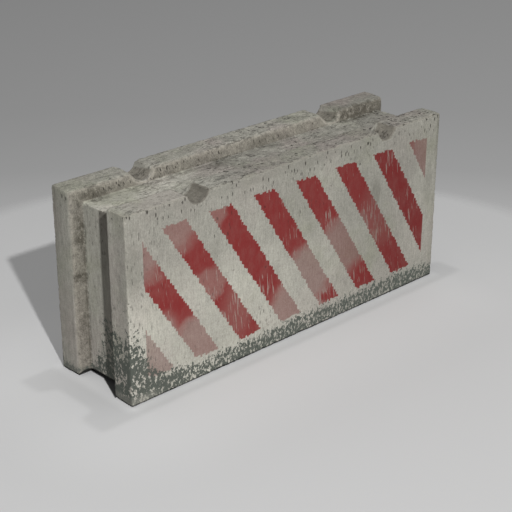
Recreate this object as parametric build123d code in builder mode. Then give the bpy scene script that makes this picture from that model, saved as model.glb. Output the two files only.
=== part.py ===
# Concrete road barrier, a precast slab about two metres long.
# One casting: two rails front and rear, a core between them that is sunk below the rails on the
# top and at both ends, a shallow relief underneath, and two half-round sling channels on top.
# Millimetres; +X along the barrier, +Y to the rear, +Z up; origin at the bottom centre.
from build123d import *
import os

# Overall block
length = 2000.0
thickness = 510.0
height = 890.0

# Rails and the groove between them
rail_width = 124.0
groove_depth = 56.0
groove_draft = 26.0
underside_depth = 25.0

# Sling channels across the top
sling_spacing = 1200.0
sling_radius = 58.0
sling_depth = 47.0

# Edges
arris_radius = 8.0
shoulder_radius = 12.0
rim_radius = 14.0
root_radius = 12.0

# How far a cut runs past the block, and how far its outer strip stands off the block's faces
run_out = 40.0
clearance = 0.1

# Sizes that follow
mouth = thickness - 2 * rail_width
wall_slope = groove_draft / groove_depth
sling_axis = height - sling_depth + sling_radius

os.makedirs("parts", exist_ok=True)


# Section of the channel between the rails: tapered walls, eased rims, rounded roots
def channel(plane, depth):
    half_floor = mouth / 2 - wall_slope * depth
    half_mouth = mouth / 2 + wall_slope * clearance
    with BuildSketch(plane) as section:
        Polygon(
            (-half_floor, -depth),
            (half_floor, -depth),
            (half_mouth, clearance),
            (-half_mouth, clearance),
            align=None,
        )
        with Locations((0, clearance)):
            Rectangle(mouth + 4 * rim_radius, run_out, align=(Align.CENTER, Align.MIN))
        rims = section.vertices().group_by(Axis.Y)[1].sort_by(Axis.X)[1:-1]
        roots = section.vertices().group_by(Axis.Y)[0]
        fillet(rims, rim_radius)
        fillet(roots, root_radius)
    return section.sketch


# Front elevation: the slab's outline with the two sling channels and its rounded corners
with BuildSketch(Plane.XZ) as elevation:
    Rectangle(length, height, align=(Align.CENTER, Align.MIN))
    with Locations((-sling_spacing / 2, sling_axis), (sling_spacing / 2, sling_axis)):
        Circle(sling_radius, mode=Mode.SUBTRACT)
    columns = elevation.vertices().group_by(Axis.X)
    corners = columns[0] + columns[-1]
    shoulders = columns[1] + columns[2] + columns[3] + columns[4]
    fillet(corners, arris_radius)
    fillet(shoulders, shoulder_radius)

# The groove climbs one end, runs along the top and comes down the other end
with BuildLine(Plane.XZ) as groove_path:
    Polyline(
        (-length / 2, -run_out),
        (-length / 2, height),
        (length / 2, height),
        (length / 2, -run_out),
    )
groove_start = Plane(origin=(-length / 2, 0, -run_out), x_dir=(0, 1, 0), z_dir=(0, 0, 1))
groove = channel(groove_start, groove_depth)

# The relief under the core is not so deep, so that the slab stands on its two rails
relief_middle = Plane(origin=(0, 0, 0), x_dir=(0, 1, 0), z_dir=(-1, 0, 0))
relief = channel(relief_middle, underside_depth)

with BuildPart() as barrier:
    extrude(elevation.sketch, amount=thickness / 2, both=True)
    broad_faces = barrier.faces().filter_by(Axis.Y).sort_by(Axis.Y)
    fillet(broad_faces[0].edges() + broad_faces[-1].edges(), arris_radius)
    sweep(groove, path=groove_path.line, transition=Transition.RIGHT, mode=Mode.SUBTRACT)
    extrude(relief, amount=length / 2 + run_out, both=True, mode=Mode.SUBTRACT)

barrier.part.label = "concrete_barrier"
export_step(barrier.part, "parts/concrete_barrier.step")
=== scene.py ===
# Concrete road barrier: one weathered casting with worn stripe paint, on a plain pale floor.
import math
from types import SimpleNamespace
import bmesh
import bpy
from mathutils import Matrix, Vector


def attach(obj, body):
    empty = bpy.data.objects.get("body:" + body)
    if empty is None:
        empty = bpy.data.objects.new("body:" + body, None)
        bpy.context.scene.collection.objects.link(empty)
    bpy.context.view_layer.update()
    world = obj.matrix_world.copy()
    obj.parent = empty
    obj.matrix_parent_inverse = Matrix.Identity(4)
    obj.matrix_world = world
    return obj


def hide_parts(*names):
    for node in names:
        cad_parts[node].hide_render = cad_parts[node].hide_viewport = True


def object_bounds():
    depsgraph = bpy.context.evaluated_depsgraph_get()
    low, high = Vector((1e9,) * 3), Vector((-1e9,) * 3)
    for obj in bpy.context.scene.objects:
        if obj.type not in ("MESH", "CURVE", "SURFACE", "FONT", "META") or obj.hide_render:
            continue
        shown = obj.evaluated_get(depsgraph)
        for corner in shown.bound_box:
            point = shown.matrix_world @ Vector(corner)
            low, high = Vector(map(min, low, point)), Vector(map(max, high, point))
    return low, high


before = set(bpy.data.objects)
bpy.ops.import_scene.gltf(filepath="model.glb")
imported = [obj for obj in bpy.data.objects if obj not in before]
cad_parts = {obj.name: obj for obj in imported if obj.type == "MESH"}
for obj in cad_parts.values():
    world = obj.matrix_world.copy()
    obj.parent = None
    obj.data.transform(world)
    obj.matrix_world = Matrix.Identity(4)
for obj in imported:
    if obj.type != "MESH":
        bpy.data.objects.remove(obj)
cadLow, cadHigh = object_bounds()  # the casting's box before any dressing
castingNode = "concrete_barrier"
print("stage 1: casting loaded,", [round(v, 3) for v in cadHigh - cadLow], "m")


# small tools for node trees

def plug(tree, socket, value):
    if isinstance(value, bpy.types.NodeSocket):
        tree.links.new(value, socket)
    else:
        socket.default_value = value


def addNode(tree, kind, inputs=None, **settings):
    made = tree.nodes.new(kind)
    for name, value in settings.items():
        setattr(made, name, value)
    for key, value in (inputs or {}).items():
        plug(tree, made.inputs[key], value)
    return made


def calc(tree, operation, *values, clamp=False):
    made = addNode(tree, "ShaderNodeMath", operation=operation, use_clamp=clamp)
    for socket, value in zip(made.inputs, values):
        plug(tree, socket, value)
    return made.outputs[0]


def vecCalc(tree, operation, *values, out=0):
    made = addNode(tree, "ShaderNodeVectorMath", operation=operation)
    for socket, value in zip(made.inputs, values):
        plug(tree, socket, value)
    return made.outputs[out]


def ease(tree, value, start, end, low=0.0, high=1.0):  # low before start, high past end, eased between
    made = addNode(tree, "ShaderNodeMapRange", interpolation_type="SMOOTHSTEP")
    for socket, number in zip(made.inputs, (value, start, end, low, high)):
        plug(tree, socket, number)
    return made.outputs[0]


def noise(tree, vector, scale, detail=3.0, rough=0.55, shift=0.0):  # one scale, or one each for X, Y and Z
    if isinstance(scale, tuple):
        vector = vecCalc(tree, "MULTIPLY", vector, scale)
        scale = 1.0
    if shift:
        vector = vecCalc(tree, "ADD", vector, (shift, shift * 0.7, shift * 1.3))
    made = addNode(tree, "ShaderNodeTexNoise",
                   {"Vector": vector, "Scale": scale, "Detail": detail, "Roughness": rough})
    return made.outputs[0]


def noiseVector(tree, vector, scale, detail):
    made = addNode(tree, "ShaderNodeTexNoise", {"Vector": vector, "Scale": scale, "Detail": detail})
    return made.outputs["Color"]


def parts(tree, vector):
    return addNode(tree, "ShaderNodeSeparateXYZ", {0: vector}).outputs


def flattened(tree, vector):  # as seen straight on from the front
    return vecCalc(tree, "MULTIPLY", vector, (1, 0, 1))


def size(tree, value):  # whatever its sign
    return calc(tree, "ABSOLUTE", value)


def swing(tree, value):  # a noise as plus or minus a half
    return calc(tree, "SUBTRACT", value, 0.5)


def distance(tree, first, second):  # from two offsets at right angles
    return calc(tree, "SQRT", calc(tree, "MULTIPLY_ADD", first, first, times(tree, second, second)))


def times(tree, *values):
    made = values[0]
    for value in values[1:]:
        made = calc(tree, "MULTIPLY", made, value)
    return made


def highest(tree, *values):
    made = values[0]
    for value in values[1:]:
        made = calc(tree, "MAXIMUM", made, value)
    return made


def without(tree, value):
    return calc(tree, "SUBTRACT", 1.0, value, clamp=True)


def blend(tree, share, first, second, way="MIX"):  # two colours, or one value over another
    made = addNode(tree, "ShaderNodeMix", data_type="RGBA", blend_type=way)
    for key, value in ((0, share), (6, first), (7, second)):
        plug(tree, made.inputs[key], value)
    return made.outputs[2]


def scaled(tree, shade, share, strength):  # a shade made lighter or darker where a mask is set
    return calc(tree, "MULTIPLY", shade, calc(tree, "MULTIPLY_ADD", share, strength, 1.0))


def toned(tree, colour, shade):
    tone = addNode(tree, "ShaderNodeCombineColor", {0: shade, 1: shade, 2: shade}).outputs[0]
    return blend(tree, 1.0, colour, tone, "MULTIPLY")


def tint(red, green, blue):  # a colour as a screen shows it, 0 to 255
    def toLinear(level):
        level /= 255
        return level / 12.92 if level <= 0.04045 else ((level + 0.055) / 1.055) ** 2.4
    return (toLinear(red), toLinear(green), toLinear(blue), 1.0)


def groupTree(name, inputs, outputs):
    tree = bpy.data.node_groups.new(name, "ShaderNodeTree")
    for label, kind, value in inputs:
        socket = tree.interface.new_socket(label, in_out="INPUT", socket_type=kind)
        socket.default_value = value
    for label, kind in outputs:
        tree.interface.new_socket(label, in_out="OUTPUT", socket_type=kind)
    return tree, tree.nodes.new("NodeGroupInput").outputs, tree.nodes.new("NodeGroupOutput").inputs


def useGroup(tree, group, **values):
    made = addNode(tree, "ShaderNodeGroup", node_tree=group)
    for name, value in values.items():
        plug(tree, made.inputs[name.capitalize()], value)
    return made.outputs[0]


# camera, floor and light

view = {
    "place": (-3.951, -4.145, 2.879),  # metres from the middle of the foot
    "heading": -43.43,  # degrees from straight on, towards the left end
    "lookDown": 24.00,
    "lens": 91.6, "sensor": 36.0,
}

stage = {
    "middle": (-0.163, -0.136),
    "radius": 2.185,  # where the floor gives way to the backdrop
    "softRim": 0.10,
    "rimSteps": 96,
    "floor": 0.53,
    "floorLightSlope": (-0.041, -0.072),  # painted light: share of floor tone lost or gained for each metre, brighter towards the front and left
    "floorRoughness": 0.9,
    # painted light: floor a little paler round the casting, against the shade it casts there: share of tone,
    # reach and where it is full, in metres
    "lifts": ((0.08, 0.7, 0.2), (0.16, 0.06, 0.0)),
    "liftRight": (1.15, 0.85, 0.4),  # where it has faded at the right, where it is full, and the share left
    "underShade": 0.84,  # share of tone lost under the casting
    "underRim": 0.006,
    "railInside": -0.125,  # inner side of the front foot
    "coreShade": 0.068,  # in from the end to where the core shades the floor
    "sunFrom": (-0.3125, -0.766, 0.563),
    "sunStrength": 2.65,
    "sunWidth": 1.5,  # degrees
    "lampPlace": (0.16, 0.13, 5.55),
    "lampPower": 140.0,
    "lampSize": 0.12,
    "fill": 0.41,  # grey light from all round
    "backdrop": ((0.0, 0.37), (0.13, 0.307), (0.35, 0.27), (0.8, 0.236)),  # tone from the floor up
    "backdropLow": -0.366,
    "backdropHigh": -0.18,
    "backdropSide": 0.24,  # brighter towards the right
}


def placeCamera():
    camera = bpy.data.objects.new("camera", bpy.data.cameras.new("camera"))
    camera.data.lens = view["lens"]
    camera.data.sensor_width = view["sensor"]
    camera.location = view["place"]
    camera.rotation_euler = (math.radians(90 - view["lookDown"]), 0, math.radians(view["heading"]))
    bpy.context.scene.collection.objects.link(camera)
    bpy.context.scene.camera = camera


def underCasting(tree, x, y):  # deep shade between the feet, up to the sunlit line at the left end
    inside = stage["railInside"]
    sunX, sunY = stage["sunFrom"][:2]
    lit = calc(tree, "MULTIPLY_ADD", calc(tree, "SUBTRACT", y, inside), sunX / sunY, cadLow.x)
    lit = calc(tree, "MINIMUM", lit, cadLow.x + stage["coreShade"])
    return times(tree, ease(tree, calc(tree, "SUBTRACT", x, lit), 0.0, stage["underRim"]),
                 ease(tree, y, inside - 0.012, inside - 0.004),
                 ease(tree, size(tree, y), 0.20, 0.18),
                 ease(tree, x, cadHigh.x - 0.02, cadHigh.x - 0.05))


def paintedLightNearCasting(tree, x, y):  # painted light: how much paler the floor is near the casting, against the shade it casts there
    offX = calc(tree, "MAXIMUM", calc(tree, "SUBTRACT", size(tree, x), cadHigh.x), 0.0)
    offY = calc(tree, "MAXIMUM", calc(tree, "SUBTRACT", size(tree, y), cadHigh.y), 0.0)
    off = distance(tree, offX, offY)
    lift = 0.0
    for share, reach, full in stage["lifts"]:
        lift = calc(tree, "ADD", lift, ease(tree, off, reach, full, 0.0, share))
    return times(tree, lift, ease(tree, x, *stage["liftRight"], 1.0))


def floorMaterial():
    material = bpy.data.materials.new("paleFloor")
    material.use_nodes = True
    tree = material.node_tree
    shader = tree.nodes["Principled BSDF"]
    place = addNode(tree, "ShaderNodeTexCoord").outputs["Object"]
    x, y = parts(tree, vecCalc(tree, "ADD", place, (*stage["middle"], 0)))[:2]
    # painted light: the floor's tone slopes, brighter towards the front and left
    slope = vecCalc(tree, "DOT_PRODUCT", place, (*stage["floorLightSlope"], 0), out=1)
    tone = calc(tree, "MULTIPLY_ADD", slope, stage["floor"], stage["floor"])
    tone = scaled(tree, tone, underCasting(tree, x, y), -stage["underShade"])
    tone = times(tree, tone, calc(tree, "ADD", paintedLightNearCasting(tree, x, y), 1.0))
    plug(tree, shader.inputs["Base Color"], tone)
    shader.inputs["Roughness"].default_value = stage["floorRoughness"]
    shader.inputs["Specular IOR Level"].default_value = 0.0
    away = vecCalc(tree, "LENGTH", place, out=1)
    rim = ease(tree, away, stage["radius"] + stage["softRim"], stage["radius"] - stage["softRim"])
    plug(tree, shader.inputs["Alpha"], rim)
    return material


def layFloor():
    reach = stage["radius"] + 2 * stage["softRim"]
    turns = [2 * math.pi * i / stage["rimSteps"] for i in range(stage["rimSteps"])]
    ring = [(reach * math.cos(turn), reach * math.sin(turn), 0.0) for turn in turns]
    mesh = bpy.data.meshes.new("floor")
    mesh.from_pydata(ring, [], [range(len(ring))])
    mesh.materials.append(floorMaterial())
    floor = bpy.data.objects.new("floor", mesh)
    floor.location = (*stage["middle"], cadLow.z)
    bpy.context.scene.collection.objects.link(floor)


def hangLights():
    sun = bpy.data.lights.new("sun", "SUN")
    sun.energy = stage["sunStrength"]
    sun.angle = math.radians(stage["sunWidth"])
    sunObject = bpy.data.objects.new("sun", sun)
    sunObject.rotation_euler = Vector(stage["sunFrom"]).to_track_quat("Z", "Y").to_euler()
    lamp = bpy.data.lights.new("overhead", "POINT")
    lamp.energy = stage["lampPower"]
    lamp.shadow_soft_size = stage["lampSize"]
    lampObject = bpy.data.objects.new("overhead", lamp)
    lampObject.location = stage["lampPlace"]
    for made in (sunObject, lampObject):
        bpy.context.scene.collection.objects.link(made)


def lightWorld():
    world = bpy.data.worlds.new("studio")
    bpy.context.scene.world = world
    world.use_nodes = True
    tree = world.node_tree
    tree.nodes.clear()
    outward = addNode(tree, "ShaderNodeTexCoord").outputs["Generated"]
    rise = addNode(tree, "ShaderNodeMapRange", {"Value": parts(tree, outward)[2],
                                                "From Min": stage["backdropLow"],
                                                "From Max": stage["backdropHigh"]})
    ramp = addNode(tree, "ShaderNodeValToRGB", {"Fac": rise.outputs[0]})
    while len(ramp.color_ramp.elements) < len(stage["backdrop"]):
        ramp.color_ramp.elements.new(0.5)
    for stop, (where, tone) in zip(ramp.color_ramp.elements, stage["backdrop"]):
        stop.position = where
        stop.color = (tone, tone, tone, 1.0)
    turn = math.radians(view["heading"])
    sideways = vecCalc(tree, "DOT_PRODUCT", outward, (math.cos(turn), math.sin(turn), 0), out=1)
    level = calc(tree, "MULTIPLY_ADD", sideways, stage["backdropSide"], 1.0)
    backdrop = addNode(tree, "ShaderNodeVectorMath", {"Vector": ramp.outputs[0], "Scale": level},
                       operation="SCALE").outputs[0]
    path = addNode(tree, "ShaderNodeLightPath").outputs
    seen = highest(tree, path["Is Camera Ray"], path["Is Glossy Ray"], path["Is Transmission Ray"])
    grey = stage["fill"]
    colour = blend(tree, seen, (grey, grey, grey, 1.0), backdrop)
    shader = addNode(tree, "ShaderNodeBackground", {"Color": colour, "Strength": 1.0})
    addNode(tree, "ShaderNodeOutputWorld", {"Surface": shader.outputs[0]})


placeCamera()
layFloor()
hangLights()
lightWorld()
bpy.context.scene.view_settings.view_transform = "Standard"
print("stage 2: camera, floor and light")


# effects that are used more than once: specks in cells, and soft-rimmed patches

specked = {"wobble": 0.55, "wobbleScale": 2.6, "least": 0.35, "more": 1.1, "core": 0.7}


def speckGroup():
    tree, take, give = groupTree(
        "specks",
        (("Place", "NodeSocketVector", (0, 0, 0)), ("Stretch", "NodeSocketVector", (1, 1, 1)),
         ("Chance", "NodeSocketFloat", 0.2), ("Size", "NodeSocketFloat", 0.3)),
        (("Mask", "NodeSocketFloat"),))
    where = vecCalc(tree, "MULTIPLY", take["Place"], take["Stretch"])
    wobble = noiseVector(tree, where, specked["wobbleScale"], 2.0)
    where = vecCalc(tree, "MULTIPLY_ADD", wobble, (specked["wobble"],) * 3, where)
    cells = addNode(tree, "ShaderNodeTexVoronoi", {"Vector": where, "Scale": 1.0})
    draw = parts(tree, cells.outputs["Color"])
    chosen = calc(tree, "LESS_THAN", draw[0], take["Chance"])
    grown = calc(tree, "MULTIPLY_ADD", draw[1], specked["more"], specked["least"])
    grown = calc(tree, "MULTIPLY", take["Size"], grown)
    inside = ease(tree, cells.outputs["Distance"], grown, calc(tree, "MULTIPLY", grown, specked["core"]))
    plug(tree, give["Mask"], calc(tree, "MULTIPLY", inside, chosen))
    return tree


def patchGroup():
    tree, take, give = groupTree(
        "softPatch",
        (("Place", "NodeSocketVector", (0, 0, 0)), ("Middle", "NodeSocketVector", (0, 0, 0)),
         ("Reach", "NodeSocketVector", (1, 1, 1)), ("Strength", "NodeSocketFloat", 0.5),
         ("Soft", "NodeSocketFloat", 0.45)),
        (("Mask", "NodeSocketFloat"),))
    off = vecCalc(tree, "DIVIDE", vecCalc(tree, "SUBTRACT", take["Place"], take["Middle"]), take["Reach"])
    inside = ease(tree, vecCalc(tree, "LENGTH", off, out=1),
                  calc(tree, "ADD", 1.0, take["Soft"]), calc(tree, "SUBTRACT", 1.0, take["Soft"]))
    plug(tree, give["Mask"], calc(tree, "MULTIPLY", inside, take["Strength"]))
    return tree


specks = speckGroup()
softPatch = patchGroup()


def wandering(tree, place, scale, reach):  # the place, pushed about so that rims of masks wander
    push = vecCalc(tree, "SUBTRACT", noiseVector(tree, place, scale, 4.0), (0.5, 0.5, 0.5))
    return vecCalc(tree, "MULTIPLY_ADD", push, (reach, reach, reach), place)


def frontPatches(tree, patches, where, join="MAXIMUM"):  # a list of soft patches on the front, put together
    made = 0.0
    for midX, midZ, reachX, reachZ, share, soft in patches:
        patch = useGroup(tree, softPatch, place=where, middle=(midX, 0, midZ), reach=(reachX, 1, reachZ),
                         strength=share, soft=soft)
        made = calc(tree, join, made, patch)
    return made


# worn stripe paint

stripes = {
    "left": -0.911, "right": 0.905, "low": 0.109, "high": 0.784,  # the painted panel, metres
    "panelRim": 0.002,
    "round": 0.012,  # how far paint may follow the face round its edge
    "pitch": 0.2622,  # along the barrier, red to red
    "width": 0.132,
    "start": -0.299,  # where one stripe would meet the ground
    "lean": 0.646,  # along the barrier for each metre up
    "rim": 0.005,  # softness of a stripe's edge, share of the pitch
    "stroke": 0.0115,  # width of an upright brush stroke
    "sway": 2.5, "swayScale": (16, 16, 12),  # how far strokes wander sideways, in widths
    "square": 0.85,  # how squarely strokes step the stripe's edge, 0 to 1
    "ragged": 0.007,  # how unevenly strokes start and stop
    "red": tint(122, 42, 41),
    "redRight": tint(113, 38, 37),  # a little deeper towards the right
    "soil": 0.38,  # share of tone lost where paint is worn away
    "wander": 0.11, "wanderScale": 11.0,  # rims of the worn patches
    "thinLoss": 0.07, "thinScale": (26, 20, 12),  # share of paint gone where it is thin
    "scratchLoss": 0.55, "scratchScale": (165, 30, 11), "scratchLean": 0.10,
    "scratchNeed": 0.79,  # how strong a scratch has to be to show
    # how much less it needs in crowds, in half-worn paint, in the scratched places and to the right
    "crowdEase": 0.20, "wornEase": 0.09, "markedEase": 0.13, "rightEase": 0.04,
    # worn patches: middle along and up, half width and half height, share of paint gone, softness
    "worn": (
        (-0.870, 0.170, 0.15, 0.20, 0.72, 0.40),
        (-0.910, 0.690, 0.11, 0.13, 0.55, 0.55),
        (-0.600, 0.180, 0.155, 0.15, 0.57, 0.24),
        (-0.730, 0.770, 0.13, 0.12, 0.50, 0.55),
        (-0.535, 0.450, 0.11, 0.085, 0.27, 0.26),
        (-0.500, 0.770, 0.06, 0.08, 0.34, 0.45),
        (-0.385, 0.260, 0.09, 0.14, 0.15, 0.50),
        (-0.045, 0.140, 0.17, 0.15, 0.54, 0.40),
        (0.090, 0.310, 0.17, 0.155, 0.62, 0.34),
        (0.320, 0.380, 0.17, 0.15, 0.56, 0.36),
        (0.540, 0.440, 0.14, 0.16, 0.16, 0.50),
        (0.930, 0.690, 0.16, 0.17, 0.55, 0.45),
    ),
    # upright scratches: middle along and up, half width and half height, strength, softness
    "scratched": (
        (-0.375, 0.250, 0.060, 0.130, 0.8, 0.45),
        (-0.745, 0.460, 0.050, 0.080, 0.6, 0.45),
        (-0.190, 0.330, 0.080, 0.060, 0.9, 0.45),
        (0.200, 0.150, 0.080, 0.060, 0.9, 0.45),
        (0.430, 0.190, 0.080, 0.070, 0.5, 0.45),
        (0.255, 0.560, 0.090, 0.100, 0.6, 0.45),
        (0.520, 0.440, 0.080, 0.150, 0.4, 0.45),
        (0.616, 0.740, 0.030, 0.080, 0.4, 0.45),
    ),
}


def stripeBands(tree, on):  # the stripes as first painted, in upright strokes of uneven length
    sway = swing(tree, noise(tree, on.place, stripes["swayScale"], 2.0))
    column = calc(tree, "MULTIPLY_ADD", sway, stripes["sway"], calc(tree, "DIVIDE", on.x, stripes["stroke"]))
    stroke = calc(tree, "FLOOR", column)
    draw = addNode(tree, "ShaderNodeTexWhiteNoise", {"W": stroke}, noise_dimensions="1D").outputs["Value"]
    rise = calc(tree, "ADD", on.z, calc(tree, "MULTIPLY", swing(tree, draw), 2 * stripes["ragged"]))
    stepped = calc(tree, "SUBTRACT", calc(tree, "ADD", stroke, 0.5), column)
    side = calc(tree, "MULTIPLY_ADD", stepped, stripes["square"] * stripes["stroke"], on.x)
    along = calc(tree, "MULTIPLY_ADD", rise, stripes["lean"], side)
    along = calc(tree, "DIVIDE", calc(tree, "SUBTRACT", along, stripes["start"]), stripes["pitch"])
    half = stripes["width"] / stripes["pitch"] / 2
    off = size(tree, calc(tree, "SUBTRACT", calc(tree, "FRACT", along), half))
    soft = stripes["panelRim"]
    return times(tree, ease(tree, off, half + stripes["rim"], half - stripes["rim"]),
                 times(tree, ease(tree, on.x, stripes["left"] - soft, stripes["left"] + soft),
                       ease(tree, on.x, stripes["right"] + soft, stripes["right"] - soft),
                       ease(tree, rise, stripes["low"] - soft, stripes["low"] + soft),
                       ease(tree, rise, stripes["high"] + soft, stripes["high"] - soft)),
                 calc(tree, "LESS_THAN", on.y, cadLow.y + stripes["round"]))


def scratchedPaint(tree, on, loss):  # upright scratches, most in the scratched places and in half-worn paint
    lean = vecCalc(tree, "DOT_PRODUCT", on.place, (1.0, 0, stripes["scratchLean"]), out=1)
    leaning = addNode(tree, "ShaderNodeCombineXYZ", {0: lean, 1: on.y, 2: on.z}).outputs[0]
    scratch = noise(tree, leaning, stripes["scratchScale"], 2.0, 0.6, 3.1)
    crowd = noise(tree, on.place, 5.5, 2.0, shift=6.1)
    partly = times(tree, ease(tree, loss, 0.02, 0.25), ease(tree, loss, 0.62, 0.35))
    marked = frontPatches(tree, stripes["scratched"], flattened(tree, on.place))
    need = stripes["scratchNeed"]
    for mask, name in ((crowd, "crowdEase"), (partly, "wornEase"), (marked, "markedEase")):
        need = calc(tree, "MULTIPLY_ADD", mask, -stripes[name], need)
    need = calc(tree, "SUBTRACT", need, ease(tree, on.x, -0.4, 0.1, 0.0, stripes["rightEase"]))
    return ease(tree, calc(tree, "SUBTRACT", scratch, need), 0.0, 0.05, 0.0, stripes["scratchLoss"])


def stripePaint(tree, on, chip):  # where paint is left, and where it is worn away
    bent = flattened(tree, wandering(tree, on.place, stripes["wanderScale"], stripes["wander"]))
    loss = frontPatches(tree, stripes["worn"], bent)
    thin = ease(tree, noise(tree, on.place, stripes["thinScale"], 5.0, 0.65, 7.3), 0.35, 0.7)
    gone = highest(tree, loss, scratchedPaint(tree, on, loss), times(tree, thin, stripes["thinLoss"]))
    bands = stripeBands(tree, on)
    worn = times(tree, bands, loss, ease(tree, on.z, 0.75, 0.50, 0.45, 1.0))
    return times(tree, bands, without(tree, gone), without(tree, chip)), worn


# weathered concrete: tints, grain, stains, pits and grime, with painted shade and highlights

finish = {
    "grey": tint(147, 145, 136),
    "mauve": tint(146, 138, 132),
    "olive": tint(137, 137, 123),
    "pale": tint(170, 165, 154),
    "dark": tint(46, 43, 38),
    "grime": tint(74, 79, 73),
    # brown for stains and rain, and for the painted shadow in the left end's groove
    "brown": tint(70, 66, 57),
    "wall": tint(126, 121, 111),
    "smear": tint(112, 110, 101),
    # near black, for the painted shade underneath and along the lowest edges
    "paintedShadeTint": tint(26, 26, 24),
    # how strongly each tint covers what is under it
    "wallShare": 0.8, "stainShare": 0.88, "rainShare": 0.45, "grimeShare": 0.95, "paintedShadeShare": 0.93,
    "dotShare": 0.85, "pitShare": 0.6, "scratchShare": 0.55, "arrisShare": 0.20, "ringShare": 0.5,
    "wallStain": 0.10,  # a thin stain all over the groove's walls
    "lipClean": 0.7,  # share of a stain that is rubbed off the lips
    "cloudDepth": 0.34, "cloudLow": 0.83,
    "evenTone": 0.95,  # what the smoother places are drawn towards
    "pools": 0.9,  # how uneven the groove's floor is
    "wander": 0.035, "wanderScale": 16.0,  # rims of stains and smears
    "frontTone": (-0.95, 0.75, 1.05, 0.88),  # the front from its left to its right, and its tones there
    "gloss": 0.2, "dull": 0.76, "dullGrain": 0.2, "paintGloss": 0.10,
    "bumpStrength": 0.6, "bumpDepth": 0.004, "bumpPits": 1.6, "bumpFine": 0.5, "bumpStreak": 0.7,
    "footHeight": 0.108, "endHeight": 0.36, "rearEndHeight": 0.045,  # how high the grime reaches
    "hiddenSwell": 2.4,  # how unevenly high it is on the rear and the right end
    "rinsedLoss": 0.55, "rinsedVeil": 0.35,  # grime rinsed off the left foot, and the thin veil there
    "slingAcross": 0.6, "slingAxis": 0.901, "slingRadius": 0.058,  # the sling channels
    "creaseAcross": 0.104, "creaseDepth": 0.054,  # the inner corner along the groove's floor, darkened with dirt and painted shade
    # brown stains in the groove: middle, reach on each side, strength
    "stains": (
        ((-0.957, 0.115, 0.69), (0.028, 0.026, 0.070), 1.00),
        ((-0.965, 0.115, 0.485), (0.045, 0.026, 0.028), 1.00),
        ((-0.957, 0.115, 0.29), (0.026, 0.026, 0.12), 0.50),
        ((-0.880, 0.11, 0.845), (0.075, 0.05, 0.032), 0.80),
        ((-0.490, 0.090, 0.834), (0.240, 0.026, 0.016), 0.55),
        ((-0.300, 0.11, 0.845), (0.140, 0.05, 0.034), 0.15),
        ((0.140, 0.11, 0.845), (0.140, 0.05, 0.034), 0.45),
        ((0.800, 0.11, 0.855), (0.180, 0.05, 0.050), 0.95),
        ((-0.190, 0.075, 0.834), (0.070, 0.05, 0.020), 0.60),
        ((0.500, -0.09, 0.834), (0.065, 0.04, 0.020), 0.40),
        ((0.775, -0.03, 0.834), (0.030, 0.04, 0.020), 0.50),
    ),
    # lighter and darker places on the front: middle along and up, half width and height, strength, softness
    "tones": (
        (-0.320, 0.710, 0.12, 0.12, 0.14, 0.6),
        (-0.600, 0.220, 0.22, 0.14, -0.14, 0.6),
        (0.200, 0.720, 0.12, 0.12, 0.15, 0.6),
        (0.450, 0.450, 0.16, 0.20, -0.10, 0.6),
        (0.900, 0.330, 0.12, 0.26, 0.16, 0.6),
        (0.020, 0.560, 0.16, 0.16, -0.06, 0.6),
    ),
    # grey smears on the front, given the same way
    "smears": (
        (-0.965, 0.640, 0.055, 0.100, 0.50, 0.45),
        (-0.530, 0.560, 0.040, 0.060, 0.35, 0.45),
        (-0.145, 0.370, 0.035, 0.060, 0.30, 0.45),
        (0.530, 0.575, 0.035, 0.080, 0.70, 0.35),
        (0.930, 0.520, 0.030, 0.100, 0.45, 0.45),
        (-0.200, 0.865, 0.600, 0.025, 0.30, 0.45),
    ),
    # share of tone gained or lost in broad parts; the channels' darkening, for the front channels at the
    # left and at the right, is painted shade
    "broad": {
        "top": -0.14, "rearTop": 0.11, "rearTopRight": -0.20, "frontTopLeft": 0.44, "bedLeft": 0.66,
        "frontLow": 0.42, "ends": 0.07, "endFloor": 0.10, "rearEnd": -0.15, "deepWalls": -0.13,
        "frontChannelShade": (-0.31, -0.15), "rearChannelShade": -0.10,
    },
    # layers of noise: scale for each metre, either one or along, through and up; detail, roughness, shift
    "layers": {
        "patchy": (2.4, 5.0, 0.6),
        "mossy": (3.3, 5.0, 0.6, 5.2),
        "cloud": (6.0, 4.0, 0.6, 1.7),
        "mottle": (19.0, 3.0, 0.6, 9.9),
        "coarse": (48.0, 5.0, 0.65, 2.3),
        "fine": ((190, 190, 130), 3.0, 0.65),
        "drawn": ((175, 70, 15), 3.0, 0.65, 3.9),  # upright on the front
        "wiped": ((16, 95, 60), 4.0, 0.65, 4.2),  # lengthways on the top
        "pools": (5.0, 3.0, 0.6, 3.3),
        "smudge": (44.0, 5.0, 0.7, 4.4),
        "rub": (30.0, 4.0, 0.65, 7.0),
        "herd": (3.2, 3.0, 0.55, 9.4),
        "vein": ((7, 26, 12), 5.0, 0.6, 2.9),
        "rain": ((24, 24, 1.1), 4.0, 0.65, 5.5),
        "flakes": ((58, 58, 44), 5.0, 0.75, 6.6),
        "crumbs": ((86, 86, 56), 5.0, 0.75, 6.6),
        "clean": (9.0, 2.0, 0.55, 8.1),
        "swell": (2.1, 3.0, 0.6, 2.2),
    },
    # share of tone that each grain takes, and how much more on the top and in the groove
    "grains": {"mottle": (0.18, 0.45), "coarse": (0.42, 0.70), "fine": (0.80, 0.95), "streak": (0.75, 0.10)},
    # pits as dots: cells for each metre along, through and up, chance and size
    "dots": {
        "upright": {"stretch": (138, 72, 42), "chance": 0.31, "size": 0.36},
        "lengthways": {"stretch": (44, 70, 60), "chance": 0.40, "size": 0.35},
    },
}

wearMarks = ("edgeWear", "rimWear", "chip", "pit")  # what the casting's points carry


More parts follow.
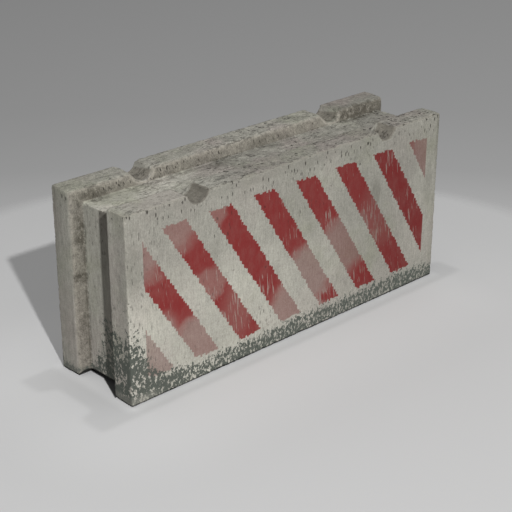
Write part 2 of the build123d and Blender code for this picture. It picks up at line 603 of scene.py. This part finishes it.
def locate(tree):  # where on the casting a point lies, as masks and distances
    coords = addNode(tree, "ShaderNodeTexCoord").outputs
    on = SimpleNamespace(place=coords["Object"])
    on.x, on.y, on.z = parts(tree, on.place)
    on.nx, on.ny, on.nz = parts(tree, coords["Normal"])
    on.farX = size(tree, on.x)
    on.farY = size(tree, on.y)
    on.top = ease(tree, on.nz, 0.45, 0.8)
    on.below = ease(tree, on.nz, -0.12, -0.4)
    on.ends = ease(tree, size(tree, on.nx), 0.5, 0.8)
    on.inner = ease(tree, on.farY, 0.20, 0.17)
    on.outer = without(tree, on.inner)
    on.walls = times(tree, on.inner, ease(tree, size(tree, on.ny), 0.4, 0.75))
    on.front = times(tree, ease(tree, on.ny, -0.5, -0.8), on.outer)
    on.rearRail = ease(tree, on.y, 0.10, 0.15)
    on.frontRail = ease(tree, on.y, -0.12, -0.14)
    on.hidden = highest(tree, ease(tree, on.y, 0.20, 0.25), ease(tree, on.x, 0.93, 0.96))
    on.sunk = calc(tree, "MINIMUM", calc(tree, "SUBTRACT", cadHigh.z, on.z),
                   calc(tree, "SUBTRACT", cadHigh.x, on.farX))  # in from the top or an end
    on.bed = times(tree, ease(tree, on.farY, 0.120, 0.110), on.top, ease(tree, on.sunk, 0.03, 0.045))
    return on


def locateChannels(tree, on):  # the sling channels: faces that look towards a channel's axis; their darker parts carry painted shade
    radius = finish["slingRadius"]
    across = calc(tree, "SUBTRACT", on.farX, finish["slingAcross"])
    over = calc(tree, "SUBTRACT", on.z, finish["slingAxis"])
    away = distance(tree, across, over)
    toward = times(tree, across, calc(tree, "SIGN", on.x))
    toward = calc(tree, "MULTIPLY_ADD", toward, on.nx, times(tree, over, on.nz))
    toward = calc(tree, "DIVIDE", toward, calc(tree, "MULTIPLY", away, -1.0))
    sling = times(tree, ease(tree, away, radius + 0.014, radius + 0.008), ease(tree, toward, 0.2, 0.55))
    deep = calc(tree, "SUBTRACT", on.z, finish["slingAxis"] - radius)  # above a channel's bottom
    upTo = calc(tree, "MULTIPLY_ADD", on.y, -0.15, 0.054)  # how high the painted shadow in a rear channel reaches
    above = calc(tree, "SUBTRACT", deep, upTo)
    on.frontChannel = times(tree, sling, times(tree, ease(tree, on.y, -0.134, -0.150),
                                               ease(tree, on.ny, 0.35, 0.10)))
    on.rearChannel = times(tree, sling, times(tree, ease(tree, on.y, 0.120, 0.134),
                                              ease(tree, above, 0.004, -0.004)))
    on.channel = calc(tree, "MAXIMUM", on.frontChannel, on.rearChannel)
    # painted highlight: a pale ring on the groove's walls round each channel
    on.ring = times(tree, on.walls, ease(tree, away, radius + 0.022, radius + 0.014))


def bareTints(tree, on, layer):
    mauve = calc(tree, "MULTIPLY_ADD", on.top, ease(tree, on.x, -0.45, -0.05, -0.6, -0.12), 1.0)
    mauve = calc(tree, "MULTIPLY_ADD", on.front, -0.75, mauve)
    mauve = calc(tree, "MULTIPLY_ADD", on.ends, -0.5, mauve)
    mauve = times(tree, ease(tree, layer.patchy, 0.44, 0.62), mauve)
    olive = ease(tree, layer.mossy, 0.48, 0.70, 0.0, 0.8)
    olive = times(tree, olive, without(tree, times(tree, on.front, ease(tree, on.x, 0.2, -0.6, 0.0, 0.75))))
    colour = blend(tree, mauve, finish["grey"], finish["mauve"])
    colour = blend(tree, olive, colour, finish["olive"])
    # the groove's walls take their own tint; in the channels' darker parts the same tint is painted shade
    for mask in (on.walls, on.channel):
        colour = blend(tree, times(tree, mask, finish["wallShare"]), colour, finish["wall"])
    return colour


def grainShade(tree, on, layer):  # grain from hand size down to sand
    shade = calc(tree, "MULTIPLY_ADD", layer.cloud, finish["cloudDepth"], finish["cloudLow"])
    rough = calc(tree, "MAXIMUM", on.top, on.walls)
    for name, (depth, more) in finish["grains"].items():
        amount = calc(tree, "MULTIPLY_ADD", rough, more, depth)
        shade = calc(tree, "MULTIPLY_ADD", swing(tree, getattr(layer, name)), amount, shade)

    # smoother on the top's left and in the channels
    smooth = times(tree, on.top, ease(tree, on.y, 0.12, 0.10), ease(tree, on.x, -0.40, -0.80, 0.0, 0.45))
    smooth = calc(tree, "MAXIMUM", smooth, times(tree, on.channel, 0.25))
    shade = calc(tree, "MULTIPLY_ADD", calc(tree, "SUBTRACT", finish["evenTone"], shade), smooth, shade)
    return scaled(tree, shade, times(tree, on.bed, swing(tree, layer.pools)), finish["pools"])


def broadShade(tree, on, shade, bentFlat):  # broad light and dark parts
    broad = finish["broad"]
    topTone = calc(tree, "MULTIPLY_ADD", on.rearRail, broad["rearTop"], broad["top"])
    frontLow = times(tree, on.front, ease(tree, on.z, 0.68, 0.38), ease(tree, on.x, 1.0, -0.6))
    frontTones = frontPatches(tree, finish["tones"], bentFlat, "ADD")
    for share, strength in (
            (on.top, topTone),
            (times(tree, on.top, on.rearRail, ease(tree, on.x, 0.60, 0.70)), broad["rearTopRight"]),
            (times(tree, on.bed, ease(tree, on.x, -0.10, -0.70)), broad["bedLeft"]),
            (times(tree, on.top, on.frontRail, ease(tree, on.x, -0.30, -0.75)), broad["frontTopLeft"]),
            (frontLow, broad["frontLow"]),
            (on.front, frontTones),
            (on.ends, broad["ends"]),
            (times(tree, on.ends, on.inner, without(tree, on.walls)), broad["endFloor"]),
            (times(tree, on.ends, ease(tree, on.y, 0.125, 0.135)), broad["rearEnd"]),
            # darker deep down the groove's walls: dirt and painted shade
            (times(tree, on.walls, ease(tree, on.sunk, 0.012, 0.056)), broad["deepWalls"]),
            # painted shade in the channels' darker parts
            (on.frontChannel, ease(tree, on.x, -0.4, 0.4, *broad["frontChannelShade"])),
            (on.rearChannel, broad["rearChannelShade"])):
        shade = scaled(tree, shade, share, strength)
    return shade


def wornLips(tree, on, layer, rim):  # pale rubbed lips of the groove, and a painted highlight round the channels
    depth = calc(tree, "MULTIPLY_ADD", swing(tree, layer.mottle), 0.035, on.sunk)
    lip = times(tree, on.walls, ease(tree, depth, 0.020, 0.008))
    lip = calc(tree, "MAXIMUM", lip, ease(tree, rim, 0.2, 0.8, 0.0, 0.6))
    rubbed = times(tree, ease(tree, layer.coarse, 0.30, 0.62, 0.12, 0.55),
                   ease(tree, on.z, 0.55, 0.80, 0.5, 1.0), ease(tree, on.x, 0.74, 0.62, 0.3, 1.0))
    return calc(tree, "MAXIMUM", times(tree, lip, rubbed), times(tree, on.ring, finish["ringShare"]))


# brown stains in the groove, and darkening along its inner corner, which is dirt and painted shade
def grooveStainsAndShade(tree, on, layer, bent, lip):
    stain = times(tree, on.walls, finish["wallStain"])
    for middle, reach, strength in finish["stains"]:
        patch = useGroup(tree, softPatch, place=bent, middle=middle, reach=reach, strength=strength)
        stain = calc(tree, "MAXIMUM", stain, patch)
    # darker along the inner corner: dirt and painted shade
    off = distance(tree, calc(tree, "SUBTRACT", on.farY, finish["creaseAcross"]),
                   calc(tree, "SUBTRACT", on.sunk, finish["creaseDepth"]))
    crease = times(tree, ease(tree, off, 0.012, 0.004), ease(tree, on.z, 0.80, 0.72, 0.3, 0.75))
    return times(tree, calc(tree, "MAXIMUM", stain, crease), ease(tree, layer.smudge, 0.34, 0.58),
                 without(tree, times(tree, lip, finish["lipClean"])))


def paintedRailShadow(tree, on):  # painted shadow of the front rail on the floor of the left end's groove
    corner = times(tree, on.ends, on.inner, ease(tree, on.x, -0.965, -0.95), ease(tree, on.x, -0.90, -0.93))
    return times(tree, corner, ease(tree, on.y, -0.001, -0.013), ease(tree, on.z, 0.3, 0.85, 0.52, 0.68))


def dullArrises(tree, on, layer, edge, colour):  # rubbed pale at the ends; along the top the outer arrises are darkened, painted shade over the highlight they catch
    high = ease(tree, on.z, 0.855, 0.875)
    rub = ease(tree, layer.rub, 0.42, 0.62)
    rubbed = times(tree, edge, rub, without(tree, high), finish["arrisShare"])
    colour = blend(tree, rubbed, colour, finish["pale"])
    # painted shade: the top's outer arrises take the wall tint, damping their highlight
    dulled = ease(tree, layer.coarse, 0.35, 0.6, 0.15, 0.6)
    return blend(tree, times(tree, edge, on.outer, high, dulled), colour, finish["wall"])


def pitDots(tree, on, layer):  # upright on the front and ends, lengthways on the top
    upright = useGroup(tree, specks, place=on.place, **finish["dots"]["upright"])
    lengthways = useGroup(tree, specks, place=on.place, **finish["dots"]["lengthways"])
    sparse = highest(tree, ease(tree, layer.herd, 0.52, 0.70, 0.0, 0.8), ease(tree, on.z, 0.76, 0.85),
                     times(tree, on.front, ease(tree, on.x, -0.70, -0.95, 0.0, 0.5)))
    sparse = times(tree, sparse, calc(tree, "MULTIPLY_ADD", on.ends, -0.35, 1.0),
                   without(tree, times(tree, on.walls, ease(tree, on.farX, 0.90, 0.94))))
    packed = times(tree, ease(tree, layer.herd, 0.36, 0.56, 0.35, 1.0),
                   ease(tree, on.x, -0.75, -0.35, 0.35, 1.0),
                   ease(tree, times(tree, on.rearRail, on.x), 0.55, 0.70, 1.0, 0.35))
    dots = calc(tree, "MAXIMUM", times(tree, upright, without(tree, on.top), sparse),
                times(tree, lengthways, on.top, packed))
    return times(tree, dots, without(tree, times(tree, on.channel, 0.5)))


def topScratches(tree, on, layer):
    line = size(tree, swing(tree, layer.vein))
    return times(tree, on.top, ease(tree, line, 0.018, 0.005), ease(tree, layer.cloud, 0.42, 0.58))


def rainStreaks(tree, on, layer):  # on the rear and the right end
    return times(tree, ease(tree, layer.rain, 0.48, 0.70), ease(tree, on.z, 0.15, 0.88, 0.2, 1.0),
                 on.hidden, without(tree, on.top))


def footGrime(tree, on, layer):  # along the foot, higher at the left
    rise = ease(tree, on.x, -0.70, -1.0)
    rise = times(tree, rise, rise, ease(tree, on.y, 0.25, 0.24))
    endTop = ease(tree, on.y, 0.11, -0.02, finish["rearEndHeight"], finish["endHeight"])
    reach = calc(tree, "SUBTRACT", endTop, finish["footHeight"])
    reach = calc(tree, "MULTIPLY_ADD", rise, reach, finish["footHeight"])
    reach = scaled(tree, reach, times(tree, swing(tree, layer.swell), on.hidden), finish["hiddenSwell"])
    level = calc(tree, "DIVIDE", on.z, reach)
    need = ease(tree, level, 0.55, 1.20, 0.46, 0.64)
    uneven = ease(tree, on.x, -0.75, -0.45, 0.30, 0.08)  # large clean patches at the left only
    need = calc(tree, "MULTIPLY_ADD", calc(tree, "SUBTRACT", 0.5, layer.clean), uneven, need)
    need = calc(tree, "MULTIPLY_ADD", times(tree, on.ends, on.frontRail), -0.03, need)
    blots = blend(tree, ease(tree, on.x, -0.7, 0.0), layer.flakes, layer.crumbs)
    foul = ease(tree, calc(tree, "SUBTRACT", blots, need), -0.006, 0.010)
    foul = times(tree, foul, ease(tree, level, 1.45, 1.15))
    rinsed = times(tree, ease(tree, on.x, -0.80, -0.95), ease(tree, on.z, 0.055, 0.030))
    foul = scaled(tree, foul, rinsed, -finish["rinsedLoss"])
    return calc(tree, "MULTIPLY_ADD", rinsed, finish["rinsedVeil"], foul)


def paintedUnderShade(tree, on, layer):  # painted shade, near black: the underside, the lowest edge and the core's lower end
    hem = times(tree, on.ends, ease(tree, on.farY, 0.122, 0.112), ease(tree, on.z, 0.036, 0.030))
    lowEdge = calc(tree, "MULTIPLY_ADD", swing(tree, layer.mottle), 0.012, on.z)
    return highest(tree, on.below, ease(tree, lowEdge, 0.013, 0.008), hem)


def concreteMaterial():
    material = bpy.data.materials.new("weatheredConcrete")
    material.use_nodes = True
    tree = material.node_tree
    shader = tree.nodes["Principled BSDF"]
    on = locate(tree)
    locateChannels(tree, on)
    layers = {name: noise(tree, on.place, *values) for name, values in finish["layers"].items()}
    layer = SimpleNamespace(**layers)
    layer.streak = blend(tree, on.top, layer.drawn, layer.wiped)
    edge, rim, chip, pit = (addNode(tree, "ShaderNodeAttribute", attribute_name=name).outputs["Fac"]
                            for name in wearMarks)
    bent = wandering(tree, on.place, finish["wanderScale"], finish["wander"])
    bentFlat = flattened(tree, bent)

    def cover(mask, share, name):  # one more tint over what is there
        return blend(tree, times(tree, mask, finish[share]), colour, finish[name])

    colour = toned(tree, bareTints(tree, on, layer),
                   broadShade(tree, on, grainShade(tree, on, layer), bentFlat))
    lip = wornLips(tree, on, layer, rim)
    colour = blend(tree, times(tree, lip, without(tree, on.channel)), colour, finish["pale"])
    colour = cover(grooveStainsAndShade(tree, on, layer, bent, lip), "stainShare", "brown")
    # painted shadow of the front rail in the left end's groove, in the stain brown
    colour = blend(tree, paintedRailShadow(tree, on), colour, finish["brown"])
    smear = times(tree, frontPatches(tree, finish["smears"], bentFlat), on.front,
                  ease(tree, layer.drawn, 0.35, 0.6))
    colour = blend(tree, smear, colour, finish["smear"])
    colour = dullArrises(tree, on, layer, edge, colour)

    paint, worn = stripePaint(tree, on, chip)
    colour = toned(tree, colour, calc(tree, "MULTIPLY_ADD", worn, -stripes["soil"], 1.0))
    red = blend(tree, ease(tree, on.x, 0.2, 0.8), stripes["red"], stripes["redRight"])
    colour = blend(tree, paint, colour, red)
    colour = toned(tree, colour, ease(tree, times(tree, on.front, on.x), *finish["frontTone"]))

    dots = pitDots(tree, on, layer)
    scratches = topScratches(tree, on, layer)
    marks = highest(tree, times(tree, dots, finish["dotShare"]), times(tree, pit, finish["pitShare"]),
                    times(tree, scratches, finish["scratchShare"]))
    colour = blend(tree, marks, colour, finish["dark"])
    colour = cover(rainStreaks(tree, on, layer), "rainShare", "brown")
    colour = cover(footGrime(tree, on, layer), "grimeShare", "grime")
    # painted shade under the casting and along its lowest edges
    colour = cover(paintedUnderShade(tree, on, layer), "paintedShadeShare", "paintedShadeTint")
    plug(tree, shader.inputs["Base Color"], colour)

    shader.inputs["Specular IOR Level"].default_value = finish["gloss"]
    dull = calc(tree, "MULTIPLY_ADD", layer.coarse, finish["dullGrain"], finish["dull"])
    dull = calc(tree, "MULTIPLY_ADD", paint, -finish["paintGloss"], dull, clamp=True)
    plug(tree, shader.inputs["Roughness"], dull)
    height = calc(tree, "MULTIPLY_ADD", layer.streak, finish["bumpStreak"], layer.coarse)
    height = calc(tree, "MULTIPLY_ADD", layer.fine, finish["bumpFine"], height)
    height = calc(tree, "MULTIPLY_ADD", highest(tree, dots, scratches), -finish["bumpPits"], height)
    bump = addNode(tree, "ShaderNodeBump", {"Strength": finish["bumpStrength"],
                                            "Distance": finish["bumpDepth"], "Height": height})
    plug(tree, shader.inputs["Normal"], bump.outputs[0])
    return material


concrete = concreteMaterial()
print("stage 3: concrete,", len(concrete.node_tree.nodes), "nodes")


# the weathered casting: a fine skin over the solid, chipped, pitted and slightly wavy

casting = {
    "grain": 0.0045,  # metres between points of the fine skin
    "quickGrain": 0.009,  # the same in a draft
    "triangles": 190000,
    "merge": 1e-5,  # points of the solid closer than this are one
    "softening": 2.5,  # blur steps for the square of a reach in grains
    "wear": {  # metres
        "edgeReach": 0.010,
        "rimReach": 0.022, "rimDepth": 0.007,  # wider rounding round the groove and under the core
        "chipDepth": 0.009, "chipSize": 0.040,
        "nickDepth": 0.004, "nickSize": 0.014,
        "pitDepth": 0.004, "pitSpacing": 0.062, "pitSize": 0.12,  # a pit's size is a share of its spacing
        "waveDepth": 0.002, "waveSize": 0.30,
        "seed": 2.0,
    },
}


def namedSocket(sockets, name):  # the one in use, of several with the same name
    return next(s for s in sockets if s.enabled and s.name == name)


def softened(tree, value, steps):
    made = addNode(tree, "GeometryNodeBlurAttribute", data_type="FLOAT_VECTOR")
    plug(tree, namedSocket(made.inputs, "Value"), value)
    plug(tree, made.inputs["Iterations"], steps)
    return namedSocket(made.outputs, "Value")


def weatherInputs(tree):
    kinds = {name: "Float" for name in casting["wear"]}
    kinds |= {"edgeSteps": "Int", "rimSteps": "Int", "low": "Vector", "high": "Vector"}
    kinds["concrete"] = "Material"
    tree.interface.new_socket("Geometry", in_out="INPUT", socket_type="NodeSocketGeometry")
    for name, kind in kinds.items():
        tree.interface.new_socket(name, in_out="INPUT", socket_type="NodeSocket" + kind)
    tree.interface.new_socket("Geometry", in_out="OUTPUT", socket_type="NodeSocketGeometry")


def weatherTree():
    tree = bpy.data.node_groups.new("weatherCasting", "GeometryNodeTree")
    weatherInputs(tree)
    take = tree.nodes.new("NodeGroupInput").outputs
    give = tree.nodes.new("NodeGroupOutput").inputs
    place = addNode(tree, "GeometryNodeInputPosition").outputs[0]
    normal = addNode(tree, "GeometryNodeInputNormal").outputs[0]
    y, z = parts(tree, place)[1:3]
    faceUp = parts(tree, normal)[2]

    def standsOut(steps, reach):  # how far a point stands out of its softened surroundings
        off = vecCalc(tree, "SUBTRACT", place, softened(tree, place, steps))
        return calc(tree, "DIVIDE", vecCalc(tree, "DOT_PRODUCT", off, normal, out=1), reach)

    def sized(name):
        return vecCalc(tree, "DIVIDE", seeded, take[name])

    edge = ease(tree, standsOut(take["edgeSteps"], take["edgeReach"]), 0.05, 0.40)
    wide = calc(tree, "SUBTRACT", standsOut(take["rimSteps"], take["rimReach"]), 0.12)
    inner = ease(tree, size(tree, y), 0.195, 0.165)
    rear = times(tree, inner, ease(tree, y, 0.06, 0.10), ease(tree, z, 0.3, 0.8, 0.35, 1.0))
    under = times(tree, ease(tree, faceUp, 0.1, -0.3), ease(tree, z, 0.10, 0.05), inner)
    rim = times(tree, calc(tree, "MAXIMUM", wide, 0.0), calc(tree, "MAXIMUM", rear, under), 2.0)

    seeded = vecCalc(tree, "ADD", place, take["seed"])
    chips = times(tree, edge, ease(tree, noise(tree, sized("chipSize"), 1.0, 3.0, 0.6), 0.50, 0.74))
    nicks = times(tree, edge, ease(tree, noise(tree, sized("nickSize"), 1.0, 2.0, 0.6), 0.45, 0.75))
    cells = addNode(tree, "ShaderNodeTexVoronoi", {"Vector": sized("pitSpacing"), "Scale": 1.0})
    across = calc(tree, "MULTIPLY", take["pitSize"], parts(tree, cells.outputs["Color"])[0])
    pits = ease(tree, cells.outputs["Distance"], across, calc(tree, "MULTIPLY", across, 0.3))
    waves = noise(tree, sized("waveSize"), 1.0, 2.0)

    depth = calc(tree, "MULTIPLY", chips, take["chipDepth"])
    for mask, name in ((nicks, "nickDepth"), (pits, "pitDepth"), (waves, "waveDepth"), (rim, "rimDepth")):
        depth = calc(tree, "MULTIPLY_ADD", mask, take[name], depth)
    depth = times(tree, depth, ease(tree, faceUp, -0.97, -0.9))  # the feet stay flat
    inward = calc(tree, "MULTIPLY", depth, -1.0)
    moved = addNode(tree, "ShaderNodeVectorMath", {"Vector": normal, "Scale": inward}, operation="SCALE")

    shape = take["Geometry"]
    for name, value in zip(wearMarks, (edge, rim, chips, pits)):
        keep = addNode(tree, "GeometryNodeStoreNamedAttribute", {"Geometry": shape, "Name": name},
                       data_type="FLOAT", domain="POINT")
        plug(tree, namedSocket(keep.inputs, "Value"), value)
        shape = keep.outputs[0]
    inBox = vecCalc(tree, "MINIMUM", vecCalc(tree, "MAXIMUM", place, take["low"]), take["high"])
    for kind, inputs in (
            ("GeometryNodeSetPosition", {"Offset": moved.outputs[0]}),
            ("GeometryNodeSetPosition", {"Position": inBox}),
            ("GeometryNodeRealizeInstances", {}),
            ("GeometryNodeSetMaterial", {"Material": take["concrete"]})):
        shape = addNode(tree, kind, {"Geometry": shape, **inputs}).outputs[0]
    plug(tree, give["Geometry"], shape)
    return tree


def plainMesh(piece, name):  # what the modifiers make of a piece, as a mesh of its own
    bpy.context.view_layer.update()
    graph = bpy.context.evaluated_depsgraph_get()
    mesh = bpy.data.meshes.new_from_object(piece.evaluated_get(graph), depsgraph=graph)
    mesh.name = name
    piece.data = mesh
    piece.modifiers.clear()


def mergedCopy(node):
    bm = bmesh.new()
    bm.from_mesh(node.data)
    bmesh.ops.remove_doubles(bm, verts=bm.verts, dist=casting["merge"])
    solid = bpy.data.meshes.new("solid")
    bm.to_mesh(solid)
    bm.free()
    return solid


def makeCasting():
    piece = bpy.data.objects.new("weathered_barrier", mergedCopy(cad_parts[castingNode]))
    bpy.context.scene.collection.objects.link(piece)
    grain = casting["grain"]
    skin = piece.modifiers.new("skin", "REMESH")
    skin.mode = "VOXEL"
    skin.voxel_size = grain
    plainMesh(piece, "skin")
    print("  skin", len(piece.data.polygons), "faces")

    tree = weatherTree()
    weather = piece.modifiers.new("weather", "NODES")
    weather.node_group = tree
    values = {**casting["wear"], "low": cadLow, "high": cadHigh, "concrete": concrete}
    for reach, steps in (("edgeReach", "edgeSteps"), ("rimReach", "rimSteps")):
        values[steps] = round(casting["softening"] * (values[reach] / grain) ** 2)
    for item in tree.interface.items_tree:
        if item.in_out == "INPUT" and item.name in values:
            weather[item.identifier] = values[item.name]
    thin = piece.modifiers.new("thin", "DECIMATE")
    thin.ratio = min(1.0, casting["triangles"] / (2 * len(piece.data.polygons)))
    plainMesh(piece, "weathered_barrier")
    piece.data.polygons.foreach_set("use_smooth", [True] * len(piece.data.polygons))
    return piece


barrier = makeCasting()
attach(barrier, "root")
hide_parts(castingNode)
print("stage 4: casting,", len(barrier.data.polygons), "faces")
